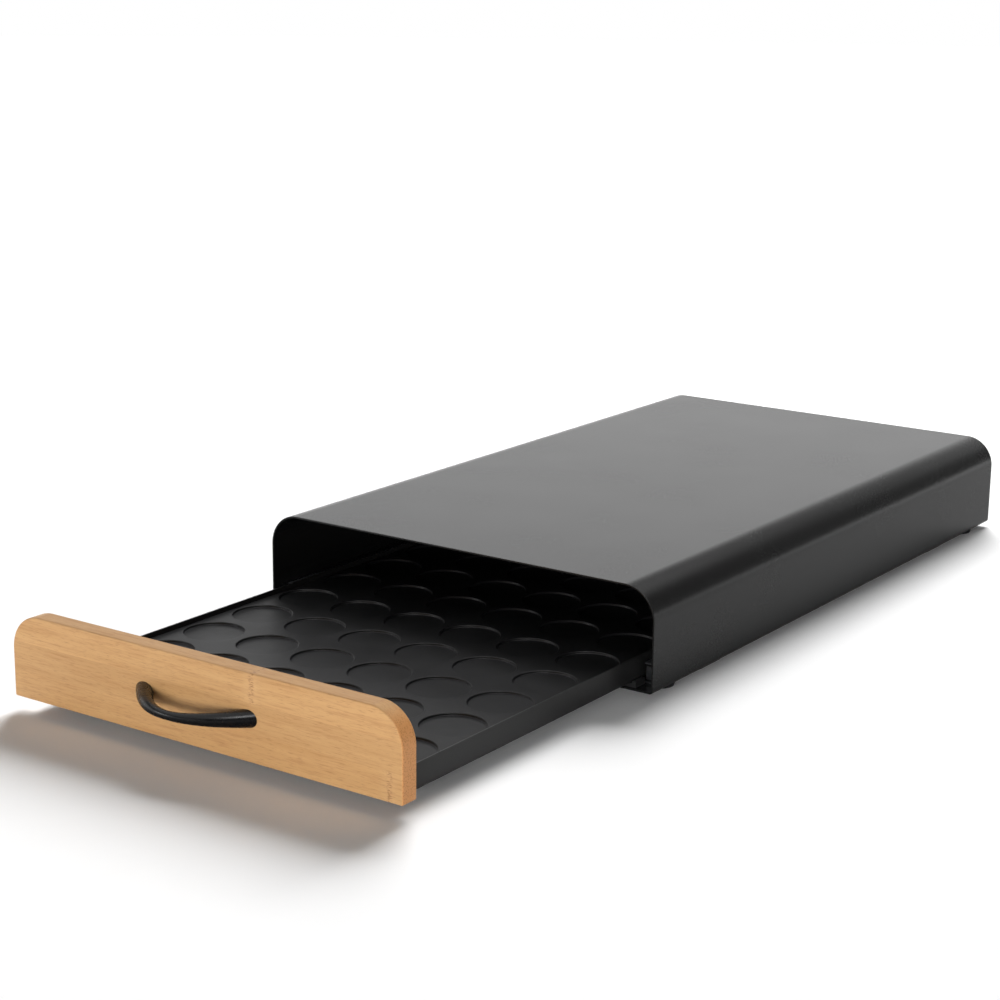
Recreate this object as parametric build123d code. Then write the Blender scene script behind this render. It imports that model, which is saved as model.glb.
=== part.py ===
from build123d import *

import os
from math import atan2, degrees

# Pod drawer: a bent steel case that an appliance stands on, and a shallow steel drawer
# with a bamboo front that slides out of it. Millimetres, +Z up, +Y from front to back.
# The solids are modelled with y = 0 at the mouth of the case and moved when written,
# so that the origin lies on the counter under the middle of the half-open drawer.

# ---- Case sheet ----
CASE_WIDTH = 300.0
CASE_DEPTH = 510.0
CASE_TOP = 70.0              # top face above the counter
CASE_SHEET = 1.2
CASE_TOP_BEND = 21.6         # outside radius of the two big top bends
CASE_FLANGE = 25.0           # turned-in bottom flange, from the outside of the wall
CASE_FLANGE_BEND = 2.4

# ---- Feet ----
FOOT_HEIGHT = 3.6
FOOT_RADIUS = 9.0
FOOT_TAPER = 0.8
FOOT_FROM_SIDE = 11.5
FOOT_FROM_END = 29.0

# ---- Rear panel ----
PANEL_FIT = 0.1              # gap all round between the pressed rear panel and the case
REAR_INSET = 6.0
REAR_FLANGE = 12.0
REAR_CORNER_NOTCH = 3.0      # relief beside each bend where the flange is cut away
REAR_RIVET_FROM_SIDE = 12.5

# ---- Cross straps ----
STRAP_WIDTH = 30.0
STRAP_SHEET = 1.2
STRAP_FROM_FRONT = 75.0
STRAP_FROM_REAR = 95.0
STRAP_END_GAP = 3.0
STRAP_RIVET_FROM_SIDE = 20.0
STRAP_RIVET_SPACING = 16.0

# ---- Runners ----
RUNNER_SHEET = 1.2
RUNNER_HEIGHT = 13.2
RUNNER_BEND = 2.0
RUNNER_WIDTH = 13.2
RUNNER_FRONT_GAP = 2.0       # behind the closed bamboo front
RUNNER_REAR_GAP = 2.0        # ahead of the rear panel's flange
RUNNER_RIVET_INSET = 6.6
RUNNER_RIVET_ENDS = 28.0
RUNNER_RIVETS = 3

# ---- Rivets ----
RIVET_RADIUS = 1.6
RIVET_HOLE_GAP = 0.1
RIVET_HEAD_RADIUS = 3.0
RIVET_HEAD_HEIGHT = 1.0
RIVET_TAIL_RADIUS = 2.4
RIVET_TAIL_HEIGHT = 1.0
RIVET_SINK = 0.9             # depth of the flush head

# ---- Drawer travel ----
DRAWER_OPEN = 226.0          # mouth of the case to the back of the bamboo front, as modelled
STOP_GAP = 0.4               # left at either end of the travel

# ---- Bamboo front ----
FRONT_THICKNESS = 12.4
FRONT_SIDE_GAP = 5.2
FRONT_BOTTOM = 9.0
FRONT_HEIGHT = 51.4
FRONT_CORNER = 21.6          # as the case's top bend
FRONT_EASED_EDGE = 1.0

# ---- Drawer tray ----
TRAY_SIDE_GAP = 14.8         # from the case wall's inside, for the runner and its guide block
TRAY_WALL = 15.5             # height of the side walls
TRAY_SHEET = 1.0
TRAY_BOTTOM = 7.5
TRAY_BEND = 2.0
TRAY_SEAM = 0.8              # open seam where two walls meet at a corner

# ---- Pod insert ----
COLUMN_PITCH = 44.0          # as many columns and rows of seats as fit
ROW_PITCH = 46.0
RIM_DIAMETER = 37.0          # what each seat has to take
SEAT_CLEARANCE = 0.75
SEAT_DEPTH = 1.6
SEAT_FLOOR = 1.6             # wall left under a seat
INSERT_RISE = 11.5           # top face of the insert above the tray floor
INSERT_GAP = 0.3
INSERT_SKIRT = 1.6
INSERT_RIB = 1.6
INSERT_CROSS_RIBS = 4
SCREW_RELIEF = 12.0          # width of the notches in the skirt for screw heads

# ---- Front glides ----
GLIDE_START = 2.0
GLIDE_LENGTH = 11.0
GLIDE_INBOARD = 8.0          # how far the pad reaches in under the tray
GLIDE_LIP = 2.6
GLIDE_LIP_HEIGHT = 3.9
GLIDE_GAP = 0.3
GLIDE_STEM_RADIUS = 2.0
GLIDE_BARB_RADIUS = 2.8
GLIDE_BARB_HEIGHT = 1.4
STEM_HOLE_GAP = 0.1

# ---- Guide blocks ----
BLOCK_LENGTH = 30.0
BLOCK_FROM_REAR = 2.0
BLOCK_GAP = 0.3              # to the runner above and below
BLOCK_SIDE_GAP = 0.6         # to the runner's web
BLOCK_CHAMFER = 1.0
BLOCK_SCREW_SPACING = 16.0
BLOCK_SCREW_RADIUS = 1.5
BLOCK_SCREW_HEAD_RADIUS = 2.8
BLOCK_SCREW_TIP = 1.0        # thread showing past the nut
BLOCK_NUT_RADIUS = 3.1
BLOCK_NUT_HEIGHT = 2.4
BLOCK_NUT_GAP = 0.2          # above the bend at the foot of the tray's wall
SCREW_HOLE_GAP = 0.1

# ---- Buffers ----
BUFFER_RADIUS = 6.0
BUFFER_LENGTH = 13.0
BUFFER_SPACING = 160.0
BUFFER_STEM_RADIUS = 2.5
BUFFER_BARB_RADIUS = 3.6
BUFFER_BARB_HEIGHT = 1.6

# ---- Front screws (wood screws through the tray's front wall) ----
FRONT_SCREW_X = (38.0, 112.0)
FRONT_SCREW_RISE = 8.0       # above the tray's underside
FRONT_SCREW_RADIUS = 1.75
FRONT_SCREW_GRIP = 9.0
FRONT_SCREW_HEAD_RADIUS = 3.6
FRONT_SCREW_HEAD_HEIGHT = 2.2
FRONT_SCREW_POINT = 0.3      # radius left at the tip
HEAD_CHAMFER = 0.4           # share of a pan head's height

# ---- Handle ----
HANDLE_HALF_SPAN = 37.8      # centre of the bar where it meets the front
HANDLE_PROUD = 22.0          # centre of the bar at the crown of the arch
HANDLE_RISE = 25.2           # above the bottom edge of the bamboo front
HANDLE_MIDDLE_RADIUS = 2.6
HANDLE_END_RADIUS = 5.2
HANDLE_FLARE = 1.5           # power of the flare from the crown to the ends
HANDLE_SECTIONS = 13
HANDLE_OVERRUN = 1.22        # sections run on past the front and are cut off flush
HANDLE_SCREW_X = 35.2
HANDLE_SCREW_RADIUS = 2.0
HANDLE_SCREW_DEPTH = 5.4     # thread inside the handle
HANDLE_SCREW_HEAD_RADIUS = 4.0
HANDLE_SCREW_HEAD_HEIGHT = 2.4
HANDLE_HOLE_GAP = 0.25       # clearance hole in the bamboo
WASHER_RADIUS = 5.0
WASHER_THICKNESS = 1.0

# ---- Places worked out from the sizes above ----
CASE_BOTTOM = FOOT_HEIGHT
FLANGE_TOP = CASE_BOTTOM + CASE_SHEET
WALL_INSIDE = CASE_WIDTH / 2 - CASE_SHEET
REAR_OUTER = CASE_DEPTH - REAR_INSET
REAR_INNER = REAR_OUTER - CASE_SHEET
REAR_FLANGE_FRONT = REAR_OUTER - REAR_FLANGE

FRONT_BACK = -DRAWER_OPEN
FRONT_FACE = FRONT_BACK - FRONT_THICKNESS
FRONT_WIDTH = 2 * (WALL_INSIDE - FRONT_SIDE_GAP)
FRONT_MIDDLE = FRONT_BACK - FRONT_THICKNESS / 2
CLOSING_TRAVEL = DRAWER_OPEN + FRONT_THICKNESS
HANDLE_FRONT = FRONT_FACE - HANDLE_PROUD - HANDLE_MIDDLE_RADIUS

TRAY_SIDE = WALL_INSIDE - TRAY_SIDE_GAP
TRAY_INSIDE = TRAY_SIDE - TRAY_SHEET
BUFFER_FACE = REAR_INNER - BUFFER_LENGTH
TRAY_LENGTH = BUFFER_FACE - STOP_GAP - FRONT_THICKNESS
TRAY_REAR = FRONT_BACK + TRAY_LENGTH
TRAY_MIDDLE = FRONT_BACK + TRAY_LENGTH / 2
TRAY_FLOOR = TRAY_BOTTOM + TRAY_SHEET
TRAY_TOP = TRAY_BOTTOM + TRAY_WALL

INSERT_TOP = TRAY_FLOOR + INSERT_RISE
INSERT_HALF_WIDTH = TRAY_INSIDE - INSERT_GAP
INSERT_LENGTH = TRAY_LENGTH - 2 * (TRAY_SHEET + INSERT_GAP)
SEAT_RADIUS = RIM_DIAMETER / 2 + SEAT_CLEARANCE
SEAT_COLUMNS = int(2 * INSERT_HALF_WIDTH // COLUMN_PITCH)
SEAT_ROWS = int(INSERT_LENGTH // ROW_PITCH)

RUNNER_OUTER = WALL_INSIDE
RUNNER_TIP = RUNNER_OUTER - RUNNER_WIDTH
RUNNER_START = FRONT_THICKNESS + RUNNER_FRONT_GAP
RUNNER_END = REAR_FLANGE_FRONT - RUNNER_REAR_GAP
RUNNER_FLOOR = FLANGE_TOP + RUNNER_SHEET
RUNNER_CEILING = FLANGE_TOP + RUNNER_HEIGHT - RUNNER_SHEET

BLOCK_REAR = TRAY_REAR - BLOCK_FROM_REAR
BLOCK_FRONT = BLOCK_REAR - BLOCK_LENGTH
BLOCK_MIDDLE = (BLOCK_REAR + BLOCK_FRONT) / 2
BLOCK_OUTER = RUNNER_OUTER - RUNNER_SHEET - BLOCK_SIDE_GAP
BLOCK_BOTTOM = RUNNER_FLOOR + BLOCK_GAP
BLOCK_TOP = RUNNER_CEILING - BLOCK_GAP
BLOCK_SCREW_LEVEL = TRAY_FLOOR + TRAY_BEND - TRAY_SHEET + BLOCK_NUT_RADIUS + BLOCK_NUT_GAP
OPENING_TRAVEL = BLOCK_FRONT - (RUNNER_START + RUNNER_SHEET) - STOP_GAP

FRONT_SCREW_LEVEL = TRAY_BOTTOM + FRONT_SCREW_RISE
HANDLE_LEVEL = FRONT_BOTTOM + HANDLE_RISE
STRAP_PLACES = (STRAP_FROM_FRONT, CASE_DEPTH - STRAP_FROM_REAR)
MIDDLE_OF_ALL = (HANDLE_FRONT + CASE_DEPTH) / 2

SIDES = {"left": -1, "right": 1}


def along_y(x, y, z, towards=1):
    """A plane across the depth: solids extruded from it grow towards +Y or -Y."""
    return Plane(origin=(x, y, z), x_dir=(1, 0, 0), z_dir=(0, towards, 0))


def along_x(x, y, z, towards=1):
    """A plane across the width: solids extruded from it grow towards +X or -X."""
    return Plane(origin=(x, y, z), x_dir=(0, 1, 0), z_dir=(towards, 0, 0))


def rod(plane, radius, length, start=0.0):
    """A round bar on a plane's normal, from start to start + length."""
    return plane * Pos(0, 0, start + length / 2) * Cylinder(radius, length)


def block(x_range, y_range, z_range):
    """A box from its limits along each axis."""
    size = [high - low for low, high in (x_range, y_range, z_range)]
    middle = [(high + low) / 2 for low, high in (x_range, y_range, z_range)]
    return Pos(*middle) * Box(*size)


def mirrored(x_range, side):
    """A range of x on the right, or its mirror image on the left."""
    low, high = x_range
    return (low, high) if side > 0 else (-high, -low)


def case_section(shrink):
    """The closed section of the case, taken in by shrink all round, facing the front."""
    height = CASE_TOP - CASE_BOTTOM
    section = Rectangle(CASE_WIDTH, height, align=(Align.CENTER, Align.MIN))
    ranked = section.vertices().sort_by(Axis.Y)
    section = fillet(ranked[-2:], CASE_TOP_BEND)
    section = fillet(section.vertices().sort_by(Axis.Y)[:2], CASE_FLANGE_BEND)
    if shrink:
        section = offset(section, amount=-shrink)
    return Pos(0, CASE_BOTTOM) * section


def extrude_back(section, start, length):
    """Extrude a section drawn facing the front, from y = start towards the back."""
    return extrude(Plane.XZ.offset(-start) * section, amount=-length)


# ---- Rivets ----
def riveted_places():
    """The three sets of rivet axes, as lists of (x, y), for both sides of the case."""
    strap = [
        (side * (CASE_WIDTH / 2 - STRAP_RIVET_FROM_SIDE), middle + step * STRAP_RIVET_SPACING / 2)
        for side in SIDES.values()
        for middle in STRAP_PLACES
        for step in (-1, 1)
    ]
    first = RUNNER_START + RUNNER_RIVET_ENDS
    last = RUNNER_END - RUNNER_RIVET_ENDS
    spacing = (last - first) / (RUNNER_RIVETS - 1)
    runner = [
        (side * (RUNNER_OUTER - RUNNER_RIVET_INSET), first + spacing * number)
        for side in SIDES.values()
        for number in range(RUNNER_RIVETS)
    ]
    rear = [
        (side * (CASE_WIDTH / 2 - REAR_RIVET_FROM_SIDE), (REAR_INNER + REAR_FLANGE_FRONT) / 2)
        for side in SIDES.values()
    ]
    return strap, runner, rear


STRAP_RIVETS, RUNNER_RIVET_PLACES, REAR_RIVETS = riveted_places()


def rivet_holes(places, low, high):
    """Clearance holes for rivets, from height low to height high."""
    drill = Cylinder(RIVET_RADIUS + RIVET_HOLE_GAP, high - low)
    return [Pos(x, y, (low + high) / 2) * drill for x, y in places]


def raised_rivet(low, high):
    """A pop rivet on the Z axis: low-domed head above the sheets and a set tail below."""
    head = Pos(0, 0, high + RIVET_HEAD_HEIGHT / 2) * Cylinder(RIVET_HEAD_RADIUS, RIVET_HEAD_HEIGHT)
    head = chamfer(head.edges().filter_by(GeomType.CIRCLE).sort_by(Axis.Z)[-1], RIVET_HEAD_HEIGHT * 0.6)
    shank = Pos(0, 0, (low + high) / 2) * Cylinder(RIVET_RADIUS, high - low)
    tail = Pos(0, 0, low - RIVET_TAIL_HEIGHT / 2) * Cylinder(RIVET_TAIL_RADIUS, RIVET_TAIL_HEIGHT)
    return head + shank + tail


def flush_rivet(low, high):
    """A rivet on the Z axis whose countersunk head ends level with the sheet it holds."""
    sink = Pos(0, 0, high - RIVET_SINK / 2) * Cone(RIVET_RADIUS, RIVET_HEAD_RADIUS, RIVET_SINK)
    shank = Pos(0, 0, (low + high) / 2) * Cylinder(RIVET_RADIUS, high - low)
    tail = Pos(0, 0, low - RIVET_TAIL_HEIGHT / 2) * Cylinder(RIVET_TAIL_RADIUS, RIVET_TAIL_HEIGHT)
    return sink + shank + tail


def flush_sinks(places, high):
    """The matching countersinks in the sheet."""
    gap = RIVET_HOLE_GAP
    sink = Cone(RIVET_RADIUS + gap, RIVET_HEAD_RADIUS + gap, RIVET_SINK)
    return [Pos(x, y, high - RIVET_SINK / 2) * sink for x, y in places]


def set_rivets(rivet, places):
    """Copies of one rivet at each place, as separate solids of one group."""
    return Compound(children=[Pos(x, y, 0) * rivet for x, y in places])


# ---- Case ----
def make_case_shell():
    section = case_section(0) - case_section(CASE_SHEET)
    mouth = CASE_WIDTH - 2 * CASE_FLANGE
    section -= Pos(0, CASE_BOTTOM) * Rectangle(mouth, 4 * CASE_SHEET)
    shell = extrude_back(section, 0, CASE_DEPTH)
    places = STRAP_RIVETS + RUNNER_RIVET_PLACES + REAR_RIVETS
    shell -= rivet_holes(places, CASE_BOTTOM, FLANGE_TOP)
    for side in SIDES.values():
        x, y = glide_stem_place(side)
        hole = Cylinder(GLIDE_STEM_RADIUS + STEM_HOLE_GAP, CASE_SHEET)
        shell -= Pos(x, y, CASE_BOTTOM + CASE_SHEET / 2) * hole
    return shell


def make_rear_panel():
    outline = case_section(CASE_SHEET + PANEL_FIT)
    lip = outline - case_section(2 * CASE_SHEET + PANEL_FIT)
    panel = extrude_back(outline, REAR_INNER, CASE_SHEET)
    flange = extrude_back(lip, REAR_FLANGE_FRONT, REAR_FLANGE - CASE_SHEET)
    straight_top = CASE_WIDTH / 2 - CASE_TOP_BEND - REAR_CORNER_NOTCH
    depth = (REAR_FLANGE_FRONT, REAR_INNER)
    for side in SIDES.values():
        beyond = (straight_top, CASE_WIDTH / 2)
        below_bend = CASE_TOP - CASE_TOP_BEND - REAR_CORNER_NOTCH
        flange -= block(mirrored(beyond, side), depth, (below_bend, CASE_TOP))
        above_flange = (FLANGE_TOP + CASE_SHEET + PANEL_FIT, FLANGE_TOP + CASE_SHEET + REAR_CORNER_NOTCH)
        flange -= block(mirrored(beyond, side), depth, above_flange)
    drop = PANEL_FIT
    seat = block((-CASE_WIDTH / 2, CASE_WIDTH / 2), depth, (FLANGE_TOP, FLANGE_TOP + drop))
    panel = panel + flange - seat
    panel -= rivet_holes(REAR_RIVETS, FLANGE_TOP, FLANGE_TOP + CASE_SHEET + PANEL_FIT)
    for x in (-BUFFER_SPACING / 2, BUFFER_SPACING / 2):
        plane = along_y(x, REAR_INNER, buffer_level())
        panel -= rod(plane, BUFFER_STEM_RADIUS + STEM_HOLE_GAP, CASE_SHEET)
    return panel


def make_strap(middle):
    half = CASE_WIDTH / 2 - STRAP_END_GAP
    strap = block(
        (-half, half),
        (middle - STRAP_WIDTH / 2, middle + STRAP_WIDTH / 2),
        (CASE_BOTTOM - STRAP_SHEET, CASE_BOTTOM),
    )
    strap = fillet(strap.edges().filter_by(Axis.Z), STRAP_END_GAP)
    return strap - rivet_holes(STRAP_RIVETS, CASE_BOTTOM - STRAP_SHEET, CASE_BOTTOM)


def make_runner(side):
    section = Rectangle(RUNNER_WIDTH, RUNNER_HEIGHT)
    outer_corners = section.vertices().sort_by(Axis.X)[-2:]
    section = fillet(outer_corners, RUNNER_BEND)
    inner = Rectangle(RUNNER_WIDTH - RUNNER_SHEET, RUNNER_HEIGHT - 2 * RUNNER_SHEET)
    inner = fillet(inner.vertices().sort_by(Axis.X)[-2:], RUNNER_BEND - RUNNER_SHEET)
    section -= Pos(-RUNNER_SHEET / 2, 0) * inner
    middle = (RUNNER_OUTER - RUNNER_WIDTH / 2, FLANGE_TOP + RUNNER_HEIGHT / 2)
    runner = extrude_back(Pos(*middle) * section, RUNNER_START, RUNNER_END - RUNNER_START)
    stop = block(
        (RUNNER_TIP + RUNNER_SHEET, RUNNER_OUTER - RUNNER_SHEET),
        (RUNNER_START, RUNNER_START + RUNNER_SHEET),
        (RUNNER_FLOOR + RUNNER_SHEET, RUNNER_CEILING - RUNNER_SHEET),
    )
    runner += stop
    if side < 0:
        runner = mirror(runner, Plane.YZ)
    runner -= rivet_holes(RUNNER_RIVET_PLACES, FLANGE_TOP, RUNNER_FLOOR)
    return runner - flush_sinks(RUNNER_RIVET_PLACES, RUNNER_FLOOR)


def glide_stem_place(side):
    x = side * (TRAY_SIDE - GLIDE_INBOARD / 2)
    return x, GLIDE_START + GLIDE_LENGTH / 2


def make_front_glide(side):
    depth = (GLIDE_START, GLIDE_START + GLIDE_LENGTH)
    pad_top = TRAY_BOTTOM - GLIDE_GAP
    lip_inner = TRAY_SIDE + GLIDE_GAP
    pad_span = mirrored((TRAY_SIDE - GLIDE_INBOARD, lip_inner + GLIDE_LIP), side)
    lip_span = mirrored((lip_inner, lip_inner + GLIDE_LIP), side)
    pad = block(pad_span, depth, (FLANGE_TOP, pad_top))
    lip = block(lip_span, depth, (pad_top, FLANGE_TOP + GLIDE_LIP_HEIGHT))
    glide = pad + lip
    x, y = glide_stem_place(side)
    below = Plane(origin=(x, y, FLANGE_TOP), z_dir=(0, 0, -1))
    glide += rod(below, GLIDE_STEM_RADIUS, CASE_SHEET)
    barb = Cone(GLIDE_BARB_RADIUS, GLIDE_STEM_RADIUS, GLIDE_BARB_HEIGHT)
    glide += below * Pos(0, 0, CASE_SHEET + GLIDE_BARB_HEIGHT / 2) * barb
    return glide


def make_foot(side, y):
    foot = Cone(FOOT_RADIUS - FOOT_TAPER, FOOT_RADIUS, FOOT_HEIGHT)
    x = side * (CASE_WIDTH / 2 - FOOT_FROM_SIDE)
    return Pos(x, y, FOOT_HEIGHT / 2) * foot


def buffer_level():
    return TRAY_BOTTOM + TRAY_WALL / 2


def make_buffers():
    """Rubber posts on the rear panel that the tray's rear wall meets when it is pushed in."""
    buffers = []
    for x in (-BUFFER_SPACING / 2, BUFFER_SPACING / 2):
        plane = along_y(x, BUFFER_FACE, buffer_level())
        post = rod(plane, BUFFER_RADIUS, BUFFER_LENGTH)
        post = chamfer(post.edges().filter_by(GeomType.CIRCLE).sort_by(Axis.Y)[0], FOOT_TAPER)
        post += rod(plane, BUFFER_STEM_RADIUS, CASE_SHEET, BUFFER_LENGTH)
        barb = Cone(BUFFER_BARB_RADIUS, BUFFER_STEM_RADIUS, BUFFER_BARB_HEIGHT)
        post += plane * Pos(0, 0, BUFFER_LENGTH + CASE_SHEET + BUFFER_BARB_HEIGHT / 2) * barb
        buffers.append(post)
    return Compound(children=buffers)


# ---- Drawer ----
def front_screw_planes(y):
    """Planes on the front screws' axes at y, facing the front of the drawer."""
    places = [side * x for x in FRONT_SCREW_X for side in SIDES.values()]
    return [along_y(x, y, FRONT_SCREW_LEVEL, -1) for x in places]


def block_screw_planes(side, x):
    """Planes on one guide block's screw axes at x, facing out of the tray."""
    steps = (-BLOCK_SCREW_SPACING / 2, BLOCK_SCREW_SPACING / 2)
    return [along_x(side * x, BLOCK_MIDDLE + step, BLOCK_SCREW_LEVEL, side) for step in steps]


def make_tray():
    outer = block((-TRAY_SIDE, TRAY_SIDE), (FRONT_BACK, TRAY_REAR), (TRAY_BOTTOM, TRAY_TOP))
    outer = fillet(outer.faces().sort_by(Axis.Z)[0].edges(), TRAY_BEND)
    inner = block(
        (-TRAY_INSIDE, TRAY_INSIDE),
        (FRONT_BACK + TRAY_SHEET, TRAY_REAR - TRAY_SHEET),
        (TRAY_FLOOR, TRAY_TOP + TRAY_SHEET),
    )
    inner = fillet(inner.faces().sort_by(Axis.Z)[0].edges(), TRAY_BEND - TRAY_SHEET)
    tray = outer - inner
    seam_height = (TRAY_BOTTOM + TRAY_BEND, TRAY_TOP)
    for side in SIDES.values():
        seam = mirrored((TRAY_INSIDE - TRAY_SEAM, TRAY_INSIDE), side)
        for low in (FRONT_BACK, TRAY_REAR - TRAY_SHEET):
            tray -= block(seam, (low, low + TRAY_SHEET), seam_height)
        for plane in block_screw_planes(side, TRAY_INSIDE):
            tray -= rod(plane, BLOCK_SCREW_RADIUS + SCREW_HOLE_GAP, TRAY_SHEET)
    for plane in front_screw_planes(FRONT_BACK + TRAY_SHEET):
        tray -= rod(plane, FRONT_SCREW_RADIUS + SCREW_HOLE_GAP, TRAY_SHEET)
    return tray


def make_insert():
    """The moulded insert: a ribbed plate on a skirt, with one shallow round seat per pod."""
    deck_bottom = INSERT_TOP - SEAT_DEPTH - SEAT_FLOOR
    half_length = INSERT_LENGTH / 2
    width = (-INSERT_HALF_WIDTH, INSERT_HALF_WIDTH)
    insert = block(width, (-half_length, half_length), (TRAY_FLOOR, INSERT_TOP))
    insert = fillet(insert.edges().filter_by(Axis.Z), TRAY_BEND)
    insert = chamfer(insert.faces().sort_by(Axis.Z)[0].edges(), TRAY_BEND - TRAY_SHEET)
    bay_x = [(column - SEAT_COLUMNS / 2) * COLUMN_PITCH for column in range(1, SEAT_COLUMNS)]
    walls_x = [-INSERT_HALF_WIDTH + INSERT_SKIRT] + bay_x + [INSERT_HALF_WIDTH - INSERT_SKIRT]
    length = 2 * (half_length - INSERT_SKIRT)
    walls_y = [-length / 2 + length * step / (INSERT_CROSS_RIBS + 1) for step in range(INSERT_CROSS_RIBS + 2)]
    under = (TRAY_FLOOR - TRAY_BEND, deck_bottom)
    pockets = []
    for left, right in zip(walls_x, walls_x[1:]):
        inner_left = left if left == walls_x[0] else left + INSERT_RIB / 2
        inner_right = right if right == walls_x[-1] else right - INSERT_RIB / 2
        for near, far in zip(walls_y, walls_y[1:]):
            inner_near = near if near == walls_y[0] else near + INSERT_RIB / 2
            inner_far = far if far == walls_y[-1] else far - INSERT_RIB / 2
            pockets.append(block((inner_left, inner_right), (inner_near, inner_far), under))
    insert -= pockets
    seats = GridLocations(COLUMN_PITCH, ROW_PITCH, SEAT_COLUMNS, SEAT_ROWS)
    recess = Cylinder(SEAT_RADIUS, 2 * SEAT_DEPTH)
    insert -= [Pos(0, 0, INSERT_TOP) * place * recess for place in seats]
    insert = Pos(0, TRAY_MIDDLE, 0) * insert
    return insert - skirt_reliefs(deck_bottom)


def skirt_reliefs(deck_bottom):
    """Notches that clear the screw heads and nuts inside the tray's walls."""
    below = TRAY_FLOOR - TRAY_BEND
    reach = INSERT_SKIRT + INSERT_RIB + FRONT_SCREW_HEAD_HEIGHT
    front = FRONT_BACK + TRAY_SHEET
    notches = []
    for side in SIDES.values():
        for x in FRONT_SCREW_X:
            span = mirrored((x - SCREW_RELIEF / 2, x + SCREW_RELIEF / 2), side)
            notches.append(block(span, (front, front + reach), (below, INSERT_TOP)))
        side_reach = INSERT_SKIRT + INSERT_GAP + BLOCK_NUT_HEIGHT + BLOCK_SCREW_TIP
        span = mirrored((TRAY_INSIDE - side_reach, TRAY_INSIDE), side)
        half = (BLOCK_SCREW_SPACING + SCREW_RELIEF) / 2
        notches.append(block(span, (BLOCK_MIDDLE - half, BLOCK_MIDDLE + half), (below, deck_bottom)))
    return notches


def make_bamboo_front():
    outline = Rectangle(FRONT_WIDTH, FRONT_HEIGHT, align=(Align.CENTER, Align.MIN))
    outline = fillet(outline.vertices().sort_by(Axis.Y)[-2:], FRONT_CORNER)
    front = extrude_back(Pos(0, FRONT_BOTTOM) * outline, FRONT_FACE, FRONT_THICKNESS)
    faces = front.faces().sort_by(Axis.Y)
    front = fillet(faces[0].edges() + faces[-1].edges(), FRONT_EASED_EDGE)
    for plane in front_screw_planes(FRONT_BACK):
        front -= rod(plane, FRONT_SCREW_RADIUS + RIVET_HOLE_GAP, FRONT_SCREW_GRIP + SCREW_HOLE_GAP)
    for side in SIDES.values():
        plane = along_y(side * HANDLE_SCREW_X, FRONT_FACE, HANDLE_LEVEL)
        front -= rod(plane, HANDLE_SCREW_RADIUS + HANDLE_HOLE_GAP, FRONT_THICKNESS)
    return front


def pan_head(plane, radius, height):
    """A screw head behind a plane that faces the front, chamfered round its outer edge."""
    head = rod(plane, radius, height, -height)
    return chamfer(head.edges().filter_by(GeomType.CIRCLE).sort_by(Axis.Y)[-1], height * HEAD_CHAMFER)


def make_front_screws():
    """Pan-head wood screws from inside the tray into the bamboo."""
    screws = []
    radius = FRONT_SCREW_RADIUS
    straight = TRAY_SHEET + FRONT_SCREW_GRIP - radius
    for plane in front_screw_planes(FRONT_BACK + TRAY_SHEET):
        head = pan_head(plane, FRONT_SCREW_HEAD_RADIUS, FRONT_SCREW_HEAD_HEIGHT)
        tip = plane * Pos(0, 0, straight + radius / 2) * Cone(radius, FRONT_SCREW_POINT, radius)
        screws.append(head + rod(plane, radius, straight) + tip)
    return Compound(children=screws)


def handle_section(share):
    """One round section of the arched handle, at a share of the half span from the crown."""
    x = share * HANDLE_HALF_SPAN
    y = FRONT_FACE - HANDLE_PROUD * (1 - share * share)
    slope = 2 * HANDLE_PROUD * share / HANDLE_HALF_SPAN
    radius = HANDLE_MIDDLE_RADIUS + (HANDLE_END_RADIUS - HANDLE_MIDDLE_RADIUS) * abs(share) ** HANDLE_FLARE
    across = Plane(origin=(x, y, HANDLE_LEVEL), x_dir=(0, 0, 1), z_dir=(1, slope, 0))
    return across * Circle(radius)


def make_handle():
    """A bow pull: its bar follows a parabola, thin at the crown and flared at the feet."""
    last = HANDLE_SECTIONS - 1
    shares = [HANDLE_OVERRUN * (2 * number / last - 1) for number in range(HANDLE_SECTIONS)]
    bar = loft([handle_section(share) for share in shares])
    reach = 2 * HANDLE_HALF_SPAN
    height = (HANDLE_LEVEL - reach, HANDLE_LEVEL + reach)
    behind = block((-reach, reach), (FRONT_FACE, FRONT_FACE + reach), height)
    handle = bar - behind
    for side in SIDES.values():
        plane = along_y(side * HANDLE_SCREW_X, FRONT_FACE, HANDLE_LEVEL, -1)
        handle -= rod(plane, HANDLE_SCREW_RADIUS + RIVET_HOLE_GAP, HANDLE_SCREW_DEPTH + SCREW_HOLE_GAP)
    return handle


def handle_screw_planes(y):
    return [along_y(side * HANDLE_SCREW_X, y, HANDLE_LEVEL, -1) for side in SIDES.values()]


def make_handle_screws():
    screws = []
    length = WASHER_THICKNESS + FRONT_THICKNESS + HANDLE_SCREW_DEPTH
    for plane in handle_screw_planes(FRONT_BACK + WASHER_THICKNESS):
        head = pan_head(plane, HANDLE_SCREW_HEAD_RADIUS, HANDLE_SCREW_HEAD_HEIGHT)
        screws.append(head + rod(plane, HANDLE_SCREW_RADIUS, length))
    return Compound(children=screws)


def make_handle_washers():
    washers = []
    hole = HANDLE_SCREW_RADIUS + SCREW_HOLE_GAP
    for plane in handle_screw_planes(FRONT_BACK + WASHER_THICKNESS):
        washer = rod(plane, WASHER_RADIUS, WASHER_THICKNESS)
        washers.append(washer - rod(plane, hole, WASHER_THICKNESS))
    return Compound(children=washers)


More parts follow.
